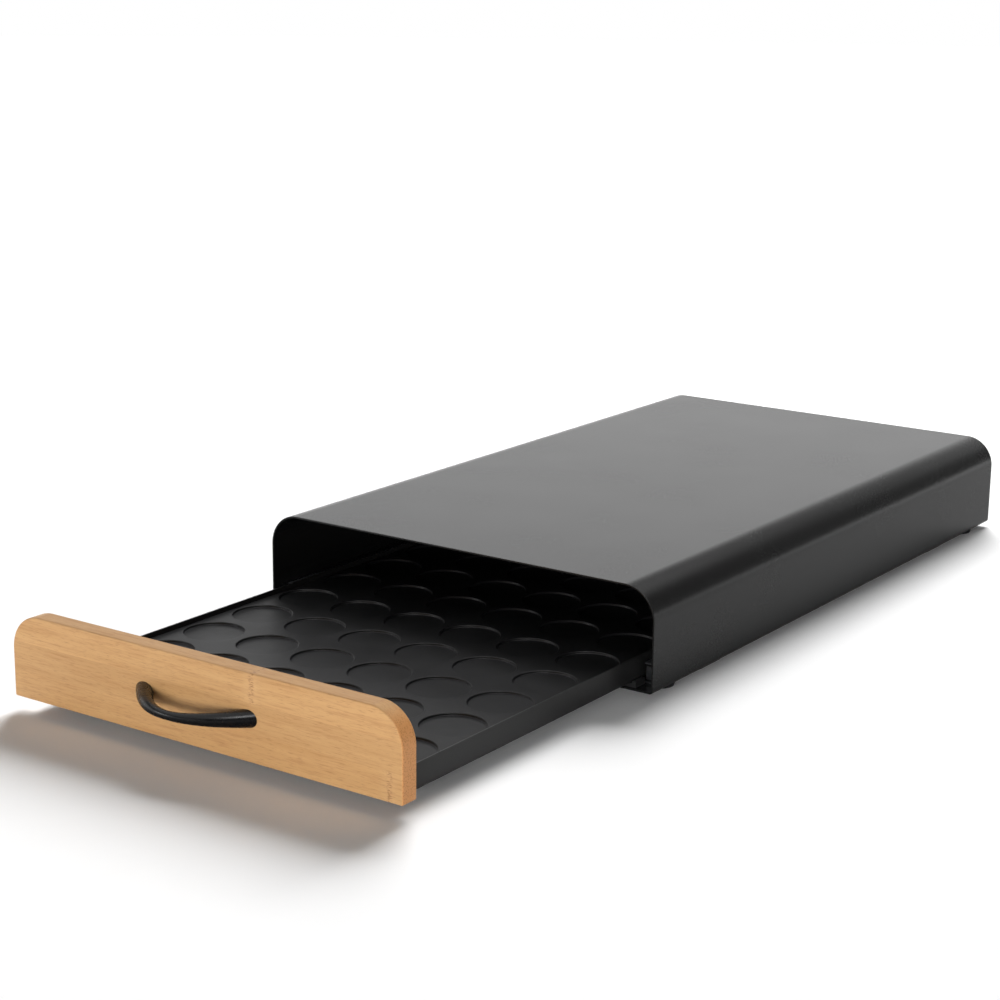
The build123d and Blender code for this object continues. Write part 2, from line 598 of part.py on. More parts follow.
def make_guide_block(side):
    span = mirrored((TRAY_SIDE, BLOCK_OUTER), side)
    guide = block(span, (BLOCK_FRONT, BLOCK_REAR), (BLOCK_BOTTOM, BLOCK_TOP))
    guide = chamfer(guide.edges().filter_by(Axis.X), BLOCK_CHAMFER)
    sink = BLOCK_SCREW_HEAD_RADIUS - BLOCK_SCREW_RADIUS
    gap = SCREW_HOLE_GAP
    for plane in block_screw_planes(side, BLOCK_OUTER):
        guide -= rod(plane, BLOCK_SCREW_RADIUS + gap, BLOCK_OUTER - TRAY_SIDE, TRAY_SIDE - BLOCK_OUTER)
        cone = Cone(BLOCK_SCREW_RADIUS + gap, BLOCK_SCREW_HEAD_RADIUS + gap, sink)
        guide -= plane * Pos(0, 0, -sink / 2) * cone
    return guide


def make_block_screws():
    """Countersunk machine screws through the guide blocks and the tray's side walls."""
    screws = []
    sink = BLOCK_SCREW_HEAD_RADIUS - BLOCK_SCREW_RADIUS
    length = BLOCK_OUTER - TRAY_INSIDE + BLOCK_NUT_HEIGHT + BLOCK_SCREW_TIP
    for side in SIDES.values():
        for plane in block_screw_planes(side, BLOCK_OUTER):
            head = plane * Pos(0, 0, -sink / 2) * Cone(BLOCK_SCREW_RADIUS, BLOCK_SCREW_HEAD_RADIUS, sink)
            screws.append(head + rod(plane, BLOCK_SCREW_RADIUS, length, -length))
    return Compound(children=screws)


def make_block_nuts():
    nuts = []
    for side in SIDES.values():
        for plane in block_screw_planes(side, TRAY_INSIDE):
            hexagon = RegularPolygon(BLOCK_NUT_RADIUS, 6)
            hole = Circle(BLOCK_SCREW_RADIUS + RIVET_HOLE_GAP)
            nuts.append(extrude(plane * (hexagon - hole), amount=-BLOCK_NUT_HEIGHT))
    return Compound(children=nuts)


def all_pieces():
    low = CASE_BOTTOM - STRAP_SHEET
    panel_rivet = raised_rivet(CASE_BOTTOM, FLANGE_TOP + PANEL_FIT + CASE_SHEET)
    pieces = {
        "case_shell": make_case_shell(),
        "rear_panel": make_rear_panel(),
        "front_strap": make_strap(STRAP_PLACES[0]),
        "rear_strap": make_strap(STRAP_PLACES[1]),
        "strap_rivets": set_rivets(raised_rivet(low, FLANGE_TOP), STRAP_RIVETS),
        "runner_rivets": set_rivets(flush_rivet(CASE_BOTTOM, RUNNER_FLOOR), RUNNER_RIVET_PLACES),
        "rear_panel_rivets": set_rivets(panel_rivet, REAR_RIVETS),
        "rear_buffers": make_buffers(),
        "drawer_tray": make_tray(),
        "pod_insert": make_insert(),
        "bamboo_front": make_bamboo_front(),
        "front_screws": make_front_screws(),
        "handle": make_handle(),
        "handle_screws": make_handle_screws(),
        "handle_washers": make_handle_washers(),
        "block_screws": make_block_screws(),
        "block_nuts": make_block_nuts(),
    }
    ends = {"front": FOOT_FROM_END, "rear": CASE_DEPTH - FOOT_FROM_END}
    for name, side in SIDES.items():
        pieces[f"{name}_runner"] = make_runner(side)
        pieces[f"{name}_front_glide"] = make_front_glide(side)
        pieces[f"{name}_guide_block"] = make_guide_block(side)
        for end, y in ends.items():
            pieces[f"{end}_{name}_foot"] = make_foot(side, y)
    return pieces


os.makedirs("parts", exist_ok=True)
for node, shape in all_pieces().items():
    export_step(Pos(0, -MIDDLE_OF_ALL, 0) * shape, f"parts/{node}.step")

print(f"drawer travel: {-CLOSING_TRAVEL:.1f} to {OPENING_TRAVEL:.1f} mm, origin at y = {MIDDLE_OF_ALL:.2f}")
print(f"handle leaves the front at {degrees(atan2(2 * HANDLE_PROUD, HANDLE_HALF_SPAN)):.0f} degrees")
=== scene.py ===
from math import cos, hypot, pi, radians, sin

import bmesh
import bpy
from mathutils import Matrix, Vector


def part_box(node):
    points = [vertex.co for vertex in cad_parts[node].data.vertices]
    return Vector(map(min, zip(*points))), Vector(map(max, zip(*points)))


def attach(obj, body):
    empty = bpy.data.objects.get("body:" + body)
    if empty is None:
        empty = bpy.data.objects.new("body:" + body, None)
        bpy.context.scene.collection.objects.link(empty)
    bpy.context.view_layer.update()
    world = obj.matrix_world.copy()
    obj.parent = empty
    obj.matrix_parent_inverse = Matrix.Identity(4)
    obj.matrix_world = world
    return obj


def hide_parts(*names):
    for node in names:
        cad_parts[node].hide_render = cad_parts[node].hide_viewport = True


# The looks of the pod drawer: a folded steel case, a steel drawer on nylon glides, and a
# bamboo front with a bow handle. Metres, in the frame of the solids it dresses.
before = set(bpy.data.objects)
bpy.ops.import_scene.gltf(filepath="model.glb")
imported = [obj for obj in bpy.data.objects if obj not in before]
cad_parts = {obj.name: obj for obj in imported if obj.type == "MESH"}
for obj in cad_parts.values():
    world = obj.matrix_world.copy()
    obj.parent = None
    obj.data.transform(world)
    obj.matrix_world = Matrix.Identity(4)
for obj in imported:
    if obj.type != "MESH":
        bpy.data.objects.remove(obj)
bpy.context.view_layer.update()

MM = 0.001

# ---- Sizes shared with the solids ----
CASE_SHEET = 1.2 * MM
CASE_TOP_BEND = 21.6 * MM
CASE_FLANGE = 25 * MM
CASE_FLANGE_BEND = 2.4 * MM
FOOT_TAPER = 0.8 * MM
RIVET_HEAD_RADIUS = 3.0 * MM
RIVET_TAIL_RADIUS = 2.4 * MM
RIVET_RADIUS = 1.6 * MM
RIVET_HEAD_HEIGHT = 1.0 * MM
STRAP_RIVET_SPACING = 16 * MM
TRAY_SHEET = 1.0 * MM
TRAY_BEND = 2.0 * MM
FRONT_CORNER = 21.6 * MM
FRONT_EASED_EDGE = 1.0 * MM
SEAT_COLUMNS, SEAT_ROWS = 6, 10
COLUMN_PITCH, ROW_PITCH = 44 * MM, 46 * MM
SEAT_RADIUS = 19.25 * MM
SEAT_DEPTH = 1.6 * MM
FRONT_SCREW_X = (38 * MM, 112 * MM)
HANDLE_SCREW_X = 35.2 * MM
SCREW_NOTCH = (12 * MM, 5.1 * MM)    # width and depth, in the insert's front skirt
HANDLE_HALF_SPAN = 37.8 * MM
HANDLE_PROUD = 22 * MM
HANDLE_MIDDLE_RADIUS = 2.6 * MM
HANDLE_END_RADIUS = 5.2 * MM
HANDLE_FLARE = 1.5
HANDLE_OVERRUN = 1.22                # how far the tube runs on before the board cuts it

# ---- Screws: radius and height of the head, radius of the shank ----
FRONT_SCREW = (3.6 * MM, 2.2 * MM, 1.75 * MM)
HANDLE_SCREW = (4.0 * MM, 2.4 * MM, 2.0 * MM)

# ---- Roundings that only show up close ----
CUT_EDGE = 0.22 * MM                 # the coat rounds every cut edge of the sheet
SEAT_LIP = 0.6 * MM
INSERT_EDGE = 0.5 * MM
FOOT_EDGE = 0.6 * MM
FOOT_DISH = 0.5 * MM
RIVET_DIMPLE = 0.8 * MM              # radius of the mark that a rivet's pin leaves

# ---- Fineness of the meshes ----
BEND_STEPS = 20
SEAT_SIDES = 64
ROUND_SIDES = 40
HANDLE_SECTIONS = 97
MERGE_DISTANCE = 0.02 * MM

scene = bpy.context.scene


# ---- Colours and nodes ----
def colour(code):
    """An sRGB hex code as the linear colour that a shader reads."""
    parts = [int(code[i:i + 2], 16) / 255 for i in (1, 3, 5)]
    return [c / 12.92 if c <= 0.04045 else ((c + 0.055) / 1.055) ** 2.4 for c in parts] + [1]


def add(tree, kind, inputs=None, **settings):
    """Add a node: its settings by name, its inputs by name or number, each a value or a link."""
    made = tree.nodes.new(kind)
    for name, value in settings.items():
        setattr(made, name, value)
    for key, value in (inputs or {}).items():
        if isinstance(value, bpy.types.NodeSocket):
            tree.links.new(value, made.inputs[key])
        else:
            made.inputs[key].default_value = value
    return made


def noise(tree, place, size, detail):
    """Soft noise with blotches of about this size."""
    return add(tree, "ShaderNodeTexNoise", {
        "Vector": place, "Scale": 1 / size, "Detail": detail}).outputs[0]


def maths(tree, operation, *values):
    """The result of one operation on up to three values."""
    return add(tree, "ShaderNodeMath", dict(enumerate(values)), operation=operation).outputs[0]


def spread(tree, value, old, new, shape="LINEAR"):
    """A value carried over from its old range to a new one, and held at the ends."""
    return add(tree, "ShaderNodeMapRange", {
        "Value": value, "From Min": old[0], "From Max": old[1],
        "To Min": new[0], "To Max": new[1]}, interpolation_type=shape).outputs[0]


def blend(tree, share, first, second):
    """A share of the second colour laid over the first."""
    return add(tree, "ShaderNodeMix", {0: share, 6: first, 7: second},
               data_type="RGBA").outputs[2]


def scaled(tree, vector, factor):
    """A colour or a vector times another, or times one number throughout."""
    return add(tree, "ShaderNodeVectorMath", {0: vector, 1: factor},
               operation="MULTIPLY").outputs[0]


def bump(tree, height, strength, distance, under=None):
    """The normal of a relief, laid over another one where that is given."""
    inputs = {"Height": height, "Strength": strength, "Distance": distance}
    if under is not None:
        inputs["Normal"] = under
    return add(tree, "ShaderNodeBump", inputs).outputs[0]


def started(name):
    """A new material: its tree, its Principled shader and the place on the object."""
    material = bpy.data.materials.new(name)
    material.use_nodes = True
    tree = material.node_tree
    tree.nodes.clear()
    shader = add(tree, "ShaderNodeBsdfPrincipled")
    add(tree, "ShaderNodeOutputMaterial", {"Surface": shader.outputs[0]})
    return material, tree, shader, add(tree, "ShaderNodeTexCoord").outputs["Object"]


def set_values(shader, values):
    """Set inputs of the shader by name, each to a value or a link."""
    for name, value in values.items():
        if isinstance(value, bpy.types.NodeSocket):
            shader.id_data.links.new(value, shader.inputs[name])
        else:
            shader.inputs[name].default_value = value


MIDDLE_OF_NOISE = (0.3, 0.7)         # the range in which most of a noise's values lie


def powder_coat(name, dark, light, rough, sheen):
    """Polyester powder baked on steel: satin, with a faint orange peel."""
    material, tree, shader, place = started(name)
    # Orange peel is 1 to 2 mm across; drawn at 2.5 mm so that it shows from a step away.
    peel = noise(tree, place, 2.5 * MM, 2.0)
    grit = noise(tree, place, 0.7 * MM, 1.0)
    cloud = noise(tree, place, 60 * MM, 3.0)
    gloss = spread(tree, cloud, MIDDLE_OF_NOISE, (rough - 0.008, rough + 0.008))
    relief = bump(tree, peel, 0.35, 0.03 * MM)
    set_values(shader, {
        "Base Color": blend(tree, grit, colour(dark), colour(light)),
        "Roughness": maths(tree, "MULTIPLY_ADD", grit, 0.03, gloss),
        "Normal": bump(tree, grit, 0.25, 0.01 * MM, relief),
        "Specular IOR Level": sheen})
    return material


STRIPS = 3.003    # three, and a hair more, so that the board's top face has a tone of its own
KNOT_PLACES = (135 * MM, 155 * MM, 41 * MM)    # along the lowest, middle and top strip
KNOT_REACH = 400 * MM                          # the widths that the ramp's colours stand for


def laminated_bamboo():
    """Three bamboo strips glued side by side and oiled: short dark fibre dashes along the grain,
    a tone of its own for each strip, a knot band where a strip had a joint, and darker ends."""
    material, tree, shader, place = started("oiled_laminated_bamboo")
    along, deep, up = add(tree, "ShaderNodeSeparateXYZ", {0: place}).outputs
    low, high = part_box("bamboo_front")
    level = maths(tree, "SUBTRACT", up, low.z)
    steps = maths(tree, "MULTIPLY", level, STRIPS / (high.z - low.z))
    strip = maths(tree, "FLOOR", steps)
    lot = add(tree, "ShaderNodeTexWhiteNoise", {"W": strip}, noise_dimensions="1D").outputs[0]
    # The seam between two strips: a hairline that is a little darker.
    across = maths(tree, "SUBTRACT", maths(tree, "FRACT", steps), 0.5)
    seam = spread(tree, maths(tree, "ABSOLUTE", across), (0.488, 0.5), (0.0, 1.0))
    # Each strip is slid along by its own amount, so that no two share a pattern.
    slid = maths(tree, "MULTIPLY_ADD", lot, 0.9, along)
    grain_at = add(tree, "ShaderNodeCombineXYZ", {0: slid, 1: deep, 2: up}).outputs[0]

    def fibres(length, width, detail):
        """Noise drawn out in the strip, with streaks of about this length and width."""
        drawn = scaled(tree, grain_at, (1 / length, 1 / width, 1 / width))
        return add(tree, "ShaderNodeTexNoise", {
            "Vector": drawn, "Scale": 1.0, "Detail": detail, "Roughness": 0.6}).outputs[0]

    band = fibres(90 * MM, 5 * MM, 2.0)
    streak = fibres(22 * MM, 1.3 * MM, 3.0)
    dash = fibres(7 * MM, 0.55 * MM, 2.0)
    # A bamboo joint falls on a strip about every 300 mm, so once or not at all on the board.
    knots = add(tree, "ShaderNodeValToRGB", {0: maths(tree, "DIVIDE", steps, 3.0)})
    knots.color_ramp.interpolation = "CONSTANT"
    knots.color_ramp.elements.new(1 / 3)
    for number, x in enumerate(KNOT_PLACES):
        knots.color_ramp.elements[number].position = number / 3
        knots.color_ramp.elements[number].color = [x / KNOT_REACH + 0.5] * 3 + [1]
    knot = maths(tree, "SUBTRACT", knots.outputs[0], 0.5)
    past = maths(tree, "MULTIPLY_ADD", knot, -KNOT_REACH, along)
    sway = maths(tree, "SUBTRACT", fibres(9 * MM, 2.5 * MM, 3.0), 0.5)
    gap = maths(tree, "ABSOLUTE", maths(tree, "MULTIPLY_ADD", sway, 4 * MM, past))
    halo = spread(tree, gap, (0.0, 9 * MM), (1.0, 0.0), "SMOOTHSTEP")
    # Within the joint the fibres are cut short, and show as a stack of short dark dashes.
    heart = spread(tree, gap, (0.5 * MM, 2.6 * MM), (1.0, 0.0), "SMOOTHSTEP")
    marks = spread(tree, fibres(2.4 * MM, 0.6 * MM, 1.0), (0.48, 0.62), (0.0, 0.7))

    tone = blend(tree, band, colour("#BE905C"), colour("#D6AA76"))
    tone = scaled(tree, tone, spread(tree, lot, (0.0, 1.0), (0.93, 1.01)))
    for share, code in (
            (spread(tree, streak, (0.5, 0.72), (0.0, 0.45)), "#A9774A"),
            (spread(tree, dash, (0.55, 0.75), (0.0, 0.55)), "#8F6038"),
            (maths(tree, "MULTIPLY", halo, 0.15), "#DDB88B"),
            (maths(tree, "MULTIPLY", heart, marks), "#8A5A34"),
            (maths(tree, "MULTIPLY", seam, 0.18), "#94663F")):
        tone = blend(tree, share, tone, colour(code))
    # Painted shade: the top edge, which faces up, is drawn a little darker, as the photographed
    # board's is.
    sideways, _, upwards = add(tree, "ShaderNodeSeparateXYZ", {
        0: add(tree, "ShaderNodeTexCoord").outputs["Normal"]}).outputs
    tone = scaled(tree, tone, spread(tree, upwards, (0.3, 0.9), (1.0, 0.8)))
    # End grain soaks up the oil, so it is redder and darker, with a dot for each fibre bundle.
    end = spread(tree, maths(tree, "ABSOLUTE", sideways), (0.35, 0.9), (0.0, 1.0))
    bundles = add(tree, "ShaderNodeTexVoronoi", {"Vector": place, "Scale": 1 / (1.1 * MM)})
    dots = spread(tree, bundles.outputs[0], (0.1, 0.5), (1.0, 0.0))
    end_tone = blend(tree, dots, colour("#CE9158"), colour("#AD7340"))

    set_values(shader, {
        "Base Color": blend(tree, end, tone, end_tone),
        "Roughness": spread(tree, streak, MIDDLE_OF_NOISE, (0.42, 0.56)),
        "Normal": bump(tree, maths(tree, "ADD", dash, streak), 0.3, 0.05 * MM),
        "Specular IOR Level": 0.35, "Coat Weight": 0.1, "Coat Roughness": 0.3})
    return material


def moulded_plastic(name, dark, light, rough, grain, sheen=0.5):
    """Injection-moulded plastic from an eroded tool: a fine grain that breaks up the gloss."""
    material, tree, shader, place = started(name)
    cells = add(tree, "ShaderNodeTexVoronoi", {"Vector": place, "Scale": 1 / grain},
                feature="SMOOTH_F1")
    cloud = noise(tree, place, 35 * MM, 3.0)
    set_values(shader, {
        "Base Color": blend(tree, cloud, colour(dark), colour(light)),
        "Roughness": spread(tree, cloud, MIDDLE_OF_NOISE, (rough - 0.04, rough + 0.04)),
        "Normal": bump(tree, cells.outputs[0], 0.3, 0.04 * MM),
        "Specular IOR Level": sheen})
    return material


def gloss_enamel():
    """Black enamel sprayed on a cast bow handle: nearly smooth, with long clear highlights."""
    material, tree, shader, place = started("gloss_black_enamel")
    flow = noise(tree, place, 6 * MM, 2.0)
    set_values(shader, {
        "Base Color": blend(tree, flow, colour("#070708"), colour("#0C0C0D")),
        "Roughness": spread(tree, flow, MIDDLE_OF_NOISE, (0.24, 0.3)),
        "Normal": bump(tree, flow, 0.06, 0.05 * MM),
        "Specular IOR Level": 0.28})
    return material


def plated_steel(name, dark, light, rough, grain):
    """Zinc on rolled or turned steel: cool grey, cloudy from the bath, with fine drawn lines
    whose grain is this long along each axis."""
    material, tree, shader, place = started(name)
    cloud = noise(tree, place, 8 * MM, 4.0)
    drawn = scaled(tree, place, [1 / length for length in grain])
    lines = add(tree, "ShaderNodeTexNoise", {"Vector": drawn, "Scale": 1.0, "Detail": 2.0})
    set_values(shader, {
        "Metallic": 1.0,
        "Base Color": blend(tree, cloud, colour(dark), colour(light)),
        "Roughness": spread(tree, lines.outputs[0], MIDDLE_OF_NOISE, (rough - 0.07, rough + 0.07)),
        "Normal": bump(tree, lines.outputs[0], 0.2, 0.01 * MM)})
    return material


ROLLED_GRAIN = (0.5 * MM, 40 * MM, 0.5 * MM)
TURNED_GRAIN = (0.4 * MM,) * 3

CASE_COAT = powder_coat("satin_black_powder_coat", "#121212", "#191919", 0.25, 0.42)
TRAY_COAT = powder_coat("satin_charcoal_powder_coat", "#1B1B1B", "#242424", 0.32, 0.5)
BAMBOO = laminated_bamboo()
INSERT_ABS = moulded_plastic("moulded_black_abs", "#101011", "#171718", 0.44, 0.9 * MM, 0.3)
NYLON = moulded_plastic("moulded_black_nylon", "#191919", "#222223", 0.5, 0.7 * MM)
RUBBER = moulded_plastic("moulded_rubber", "#151515", "#1E1E1E", 0.78, 0.5 * MM)
ENAMEL = gloss_enamel()
RUNNER_ZINC = plated_steel(
    "zinc_plated_runner_steel", "#A9ACB0", "#C3C6CA", 0.36, ROLLED_GRAIN)
SCREW_ZINC = plated_steel(
    "zinc_plated_screw_steel", "#B4B7BB", "#CFD1D4", 0.3, TURNED_GRAIN)
RIVET_STEEL = plated_steel(
    "bright_rivet_steel", "#A5A7AA", "#BEC0C2", 0.34, TURNED_GRAIN)


# ---- Meshes ----
def made_mesh(name, form):
    """A bmesh as a mesh, with its faces turned outwards."""
    bmesh.ops.recalc_face_normals(form, faces=form.faces)
    mesh = bpy.data.meshes.new(name)
    form.to_mesh(mesh)
    form.free()
    return mesh


def shown(name, mesh):
    """An object for a mesh, at the origin."""
    made = bpy.data.objects.new(name, mesh)
    scene.collection.objects.link(made)
    return made


def settled(piece):
    """The piece with its modifiers made part of its mesh."""
    bpy.context.view_layer.update()
    evaluated = piece.evaluated_get(bpy.context.evaluated_depsgraph_get())
    mesh = bpy.data.meshes.new_from_object(evaluated)
    mesh.name = piece.name
    piece.modifiers.clear()
    piece.data = mesh
    return piece


def smoothed(mesh, limit=32):
    """Smooth shading that still breaks at edges sharper than the limit, in degrees."""
    form = bmesh.new()
    form.from_mesh(mesh)
    for face in form.faces:
        face.smooth = True
    for edge in form.edges:
        edge.smooth = len(edge.link_faces) == 2 and edge.calc_face_angle(0) < radians(limit)
    form.to_mesh(mesh)
    form.free()
    return mesh


def rounded(piece, width, steps=2, limit=50):
    """Round the sharp edges of a piece, and keep its flat faces flat to the eye."""
    for face in piece.data.polygons:
        face.use_smooth = True
    bevel = piece.modifiers.new("rounded_edges", "BEVEL")
    bevel.width = width
    bevel.segments = steps
    bevel.limit_method = "ANGLE"
    bevel.angle_limit = radians(limit)
    bevel.use_clamp_overlap = True
    flat = piece.modifiers.new("flat_faces", "WEIGHTED_NORMAL")
    flat.weight = 100
    return settled(piece)


def dressed(piece, material, body, slot, *nodes):
    """Give a finished piece its material and say what it rides on and stands for."""
    piece.data.materials.clear()
    piece.data.materials.append(material)
    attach(piece, body)
    if nodes:
        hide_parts(*nodes)
    return piece


def arc(x, z, radius, first, last, steps):
    """Points round an arc from one angle to another, in degrees, each with its outward normal."""
    angles = [radians(first + (last - first) * step / steps) for step in range(steps + 1)]
    return [(x + radius * cos(a), z + radius * sin(a), cos(a), sin(a)) for a in angles]


def lathe(name, profile, sides=ROUND_SIDES):
    """A closed turned shape about +Z from its profile of (radius, height), pole to pole."""
    form = bmesh.new()
    rings = []
    for radius, height in profile:
        if radius == 0:
            rings.append([form.verts.new((0, 0, height))])
            continue
        angles = [2 * pi * side / sides for side in range(sides)]
        rings.append([form.verts.new((radius * cos(a), radius * sin(a), height)) for a in angles])
    for low, high in zip(rings, rings[1:]):
        for side in range(sides):
            after = (side + 1) % sides
            corners = [low[side % len(low)], low[after % len(low)]]
            corners += [high[after % len(high)], high[side % len(high)]]
            form.faces.new(list(dict.fromkeys(corners)))
    return made_mesh(name, form)


def prism(name, outline, front, back):
    """A closed solid between two planes across Y, from its outline of (x, z)."""
    form = bmesh.new()
    near = [form.verts.new((x, front, z)) for x, z in outline]
    far = [form.verts.new((x, back, z)) for x, z in outline]
    form.faces.new(near)
    form.faces.new(far)
    for i, after in enumerate(list(range(1, len(near))) + [0]):
        form.faces.new((near[i], near[after], far[after], far[i]))
    return made_mesh(name, form)


# ---- Geometry Nodes ----
def new_tree(name, sockets):
    """A Geometry Nodes tree with its named inputs: the tree and its input node."""
    tree = bpy.data.node_groups.new(name, "GeometryNodeTree")
    for label, kind in [("Geometry", "NodeSocketGeometry")] + sockets:
        tree.interface.new_socket(label, in_out="INPUT", socket_type=kind)
    tree.interface.new_socket("Geometry", in_out="OUTPUT", socket_type="NodeSocketGeometry")
    return tree, add(tree, "NodeGroupInput").outputs


def ended(tree, geometry, material):
    """Close a tree: real geometry with its material."""
    real = add(tree, "GeometryNodeRealizeInstances", {0: geometry})
    painted = add(tree, "GeometryNodeSetMaterial", {
        "Geometry": real.outputs[0], "Material": material})
    add(tree, "NodeGroupOutput", {0: painted.outputs[0]})
    return tree


def grown(name, tree, values, start=None):
    """A plain mesh object that a tree grows from a starting mesh with these inputs."""
    piece = shown(name, start or bpy.data.meshes.new(name))
    modifier = piece.modifiers.new("grown", "NODES")
    modifier.node_group = tree
    keys = {item.name: item.identifier for item in tree.interface.items_tree}
    for label, value in values.items():
        modifier[keys[label]] = value
    return settled(piece)


def set_at_points_tree():
    """One small part at every point, each turned by chance about its own axis."""
    tree, given = new_tree("set_at_points", [
        ("Part", "NodeSocketObject"), ("Axis", "NodeSocketVector"), ("Turn", "NodeSocketFloat"),
        ("Seed", "NodeSocketInt"), ("Material", "NodeSocketMaterial")])
    part = add(tree, "GeometryNodeObjectInfo", {"Object": given["Part"]})
    chance = add(tree, "FunctionNodeRandomValue", {
        2: 0.0, 3: given["Turn"], "Seed": given["Seed"]}, data_type="FLOAT")
    turn = add(tree, "FunctionNodeAxisAngleToRotation", {
        "Axis": given["Axis"], "Angle": chance.outputs[1]})
    placed = add(tree, "GeometryNodeInstanceOnPoints", {
        "Points": given["Geometry"], "Instance": part.outputs["Geometry"],
        "Rotation": turn.outputs[0]})
    return ended(tree, placed.outputs[0], given["Material"])


SET_AT_POINTS = set_at_points_tree()


def set_at(name, part, places, material, axis=(0, 0, 1), turn=2 * pi, seed=1):
    """Copies of a small part's mesh at these places, as one plain mesh object."""
    source = shown(name + "_part", part)
    points = bpy.data.meshes.new(name + "_places")
    points.from_pydata(places, [], [])
    values = {"Part": source, "Axis": axis, "Turn": turn, "Seed": seed, "Material": material}
    piece = grown(name, SET_AT_POINTS, values, points)
    bpy.data.objects.remove(source)
    return piece


# ---- Case ----
def folded_case():
    """The case: one sheet folded into two big top bends and two bottom flanges."""
    low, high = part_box("case_shell")
    half, bend, tight = high.x, CASE_TOP_BEND, CASE_FLANGE_BEND
    right = arc(half - bend, high.z - bend, bend, 90, 0, BEND_STEPS)
    right += arc(half - tight, low.z + tight, tight, 0, -90, 6)
    right.append((half - CASE_FLANGE, low.z, 0, -1))
    left = [(-x, z, -nx, nz) for x, z, nx, nz in reversed(right)]
    path = left + right
    outline = [(x, z) for x, z, _, _ in path]
    outline += [(x - nx * CASE_SHEET, z - nz * CASE_SHEET) for x, z, nx, nz in reversed(path)]
    piece = shown("folded_steel_case", prism("folded_steel_case", outline, low.y, high.y))
    # Each end of the sheet becomes a row of four-sided faces in place of one long thin face.
    form = bmesh.new()
    form.from_mesh(piece.data)
    count = len(path)
    for face in [f for f in form.faces if len(f.verts) > 4]:
        form.faces.remove(face)
    form.verts.ensure_lookup_table()
    for start in (0, 2 * count):
        for i in range(count - 1):
            inner = 2 * count - 1 - i
            form.faces.new([form.verts[start + k] for k in (i, i + 1, inner - 1, inner)])
    bmesh.ops.recalc_face_normals(form, faces=form.faces)
    form.to_mesh(piece.data)
    form.free()
    rounded(piece, CUT_EDGE)
    return dressed(piece, CASE_COAT, "case", "case_powder_coat", "case_shell")


def foot_mesh(radius, height):
    """A moulded rubber foot: a soft-edged cone with a shallow dish underneath."""
    ease = FOOT_EDGE
    top = arc(radius - ease, height - ease, ease, 0, 90, 4)
    low = arc(radius - FOOT_TAPER - ease, ease, ease, -90, 0, 4)
    profile = [(0, FOOT_DISH), (radius * 0.55, FOOT_DISH), (radius * 0.68, 0.0)]
    profile += [(x, z) for x, z, _, _ in low + top] + [(0, height)]
    return smoothed(lathe("foot", profile), 50)


def rubber_feet():
    """The four feet, each standing where its solid stands."""
    nodes = [f"{end}_{side}_foot" for end in ("front", "rear") for side in ("left", "right")]
    boxes = [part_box(node) for node in nodes]
    low, high = boxes[0]
    places = [((a.x + b.x) / 2, (a.y + b.y) / 2, a.z) for a, b in boxes]
    piece = set_at("rubber_feet", foot_mesh((high.x - low.x) / 2, high.z - low.z), places, RUBBER)
    return dressed(piece, RUBBER, "case", "foot_rubber", *nodes)


def rivet_mesh(low, high):
    """A pop rivet: domed head above, set tail below, and the dimple its pin leaves."""
    dome, head, tail = RIVET_HEAD_HEIGHT, RIVET_HEAD_RADIUS, RIVET_TAIL_RADIUS
    profile = [(0, low - dome), (tail * 0.7, low - dome), (tail, low - dome * 0.6), (tail, low)]
    profile += [(RIVET_RADIUS, low), (RIVET_RADIUS, high), (head, high)]
    profile += [(head * cos(radians(a)), high + dome * sin(radians(a))) for a in (20, 40, 60, 72)]
    profile += [(RIVET_DIMPLE, high + 0.6 * dome), (0, high + 0.6 * dome)]
    return smoothed(lathe("rivet", profile, 24), 40)


def strap_rivets():
    """The rivets of the two cross straps, two at each end of a strap."""
    low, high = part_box("strap_rivets")
    x = high.x - RIVET_HEAD_RADIUS
    near, far = low.y + RIVET_HEAD_RADIUS, high.y - RIVET_HEAD_RADIUS
    rows = [near, near + STRAP_RIVET_SPACING, far - STRAP_RIVET_SPACING, far]
    places = [(side * x, y, 0) for side in (-1, 1) for y in rows]
    rivet = rivet_mesh(low.z + RIVET_HEAD_HEIGHT, high.z - RIVET_HEAD_HEIGHT)
    piece = set_at("strap_rivet_heads", rivet, places, RIVET_STEEL)
    return dressed(piece, RIVET_STEEL, "case", "rivet_steel", "strap_rivets")


def panel_rivets():
    """The two rivets that hold the rear panel's flange."""
    low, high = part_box("rear_panel_rivets")
    x, y = high.x - RIVET_HEAD_RADIUS, (low.y + high.y) / 2
    rivet = rivet_mesh(low.z + RIVET_HEAD_HEIGHT, high.z - RIVET_HEAD_HEIGHT)
    piece = set_at("panel_rivet_heads", rivet, [(-x, y, 0), (x, y, 0)], RIVET_STEEL)
    return dressed(piece, RIVET_STEEL, "case", "rivet_steel", "rear_panel_rivets")


